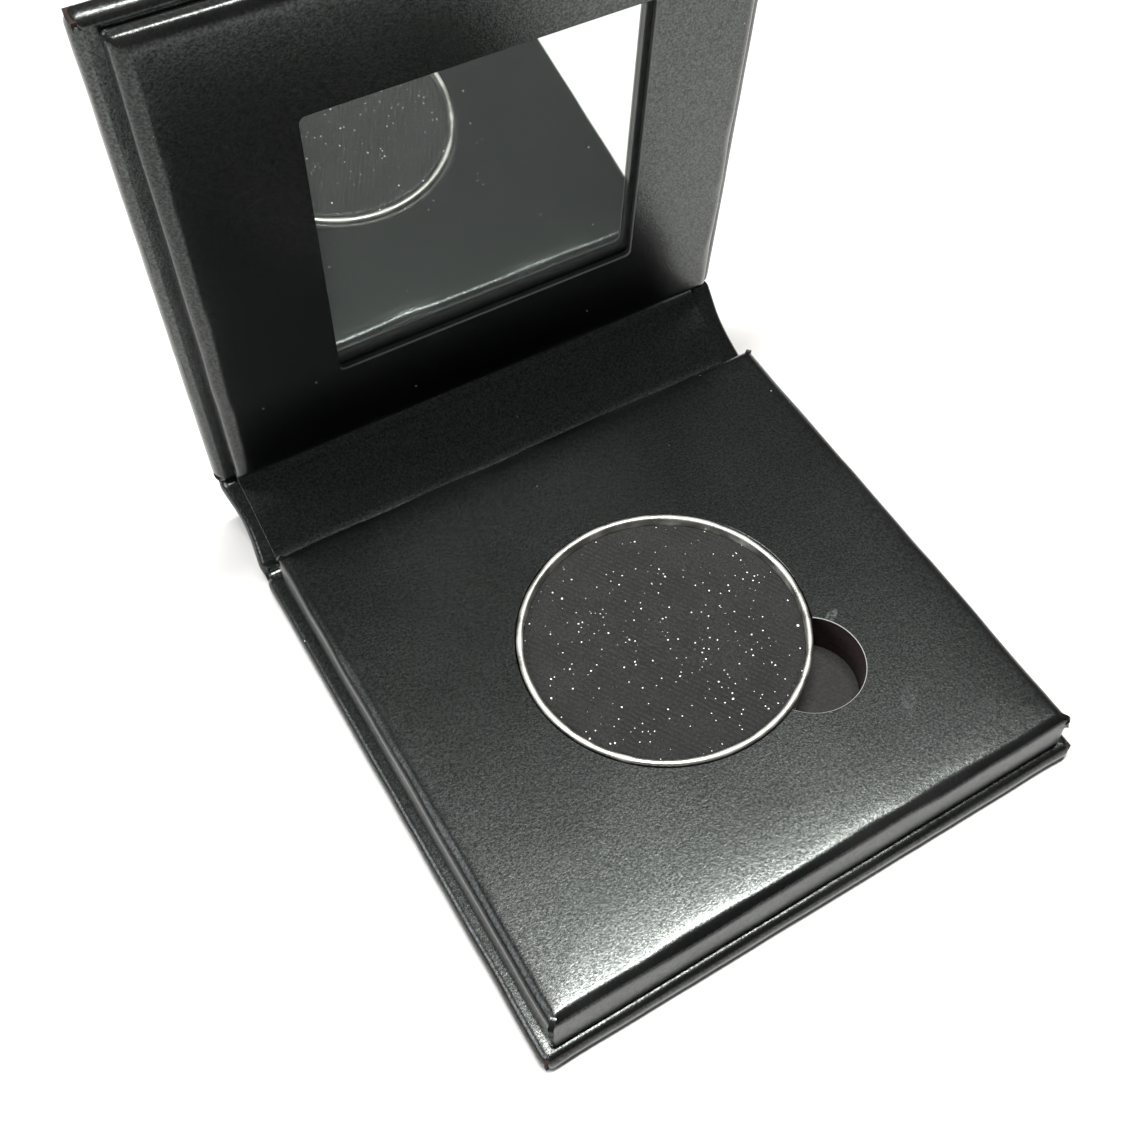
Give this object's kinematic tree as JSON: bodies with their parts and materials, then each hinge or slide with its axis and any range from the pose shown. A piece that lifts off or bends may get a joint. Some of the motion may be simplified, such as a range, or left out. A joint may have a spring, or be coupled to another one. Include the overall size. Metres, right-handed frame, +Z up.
{
  "type": "eyeshadow palette",
  "caption": "Book-style card palette holding a round pan of pressed powder in a well with a finger notch, under a folding lid with a square mirror.",
  "frame": {"origin": "on the underside of the lower cover, straight below the centre of the tray block", "axes": "+X along the front edge to the right, +Y towards the spine, +Z up from the table"},
  "size_m": [0.054, 0.0631, 0.0607],
  "materials": {
    "soft_touch_paper": "satin",
    "lining_paper": "satin",
    "greyboard": "matte",
    "filler_paper": "matte",
    "magnetic_sheet": "matte",
    "closure_steel": "satin",
    "tinplate": "satin",
    "pressed_powder": "matte",
    "mounting_tape": "matte",
    "mirror_silver": "polished",
    "mirror_glass": "polished"
  },
  "bodies": {
    "base": {"base_board": "greyboard", "base_wrap": "soft_touch_paper", "base_filler": "filler_paper", "tray_core_lower": "greyboard", "tray_core_middle": "greyboard", "tray_core_upper": "greyboard", "tray_wrap": "soft_touch_paper", "well_floor": "magnetic_sheet", "tray_magnet": "closure_steel", "lower_crease_wrap": "soft_touch_paper", "lower_crease_liner": "lining_paper"},
    "pan": {"pan": "tinplate", "powder": "pressed_powder"},
    "spine": {"spine_board": "greyboard", "spine_wrap": "soft_touch_paper", "spine_liner": "lining_paper", "upper_crease_wrap": "soft_touch_paper", "upper_crease_liner": "lining_paper"},
    "lid": {"lid_board": "greyboard", "lid_wrap": "soft_touch_paper", "lid_filler": "filler_paper", "mirror_seat": "greyboard", "window_board": "greyboard", "panel_wrap": "soft_touch_paper", "mirror_tape": "mounting_tape", "mirror_silver": "mirror_silver", "mirror_glass": "mirror_glass", "lid_plate": "closure_steel"}
  },
  "joints": [
    {"name": "spine_fold", "type": "hinge", "parent": "base", "child": "spine", "pos_m": [0, 0.028, 0.0001], "axis": [-1, 0, 0], "range_deg": [-54, 36], "deforming": ["lower_crease_wrap", "lower_crease_liner"]},
    {"name": "lid_fold", "type": "hinge", "parent": "spine", "child": "lid", "pos_m": [0, 0.03694, 0.0066], "axis": [-1, 0, 0], "range_deg": [-28, 62], "deforming": ["upper_crease_wrap", "upper_crease_liner"]},
    {"name": "pan_turn", "type": "hinge", "parent": "base", "child": "pan", "pos_m": [0, 0, 0.0027], "axis": [0, 0, 1], "continuous": true}
  ]
}
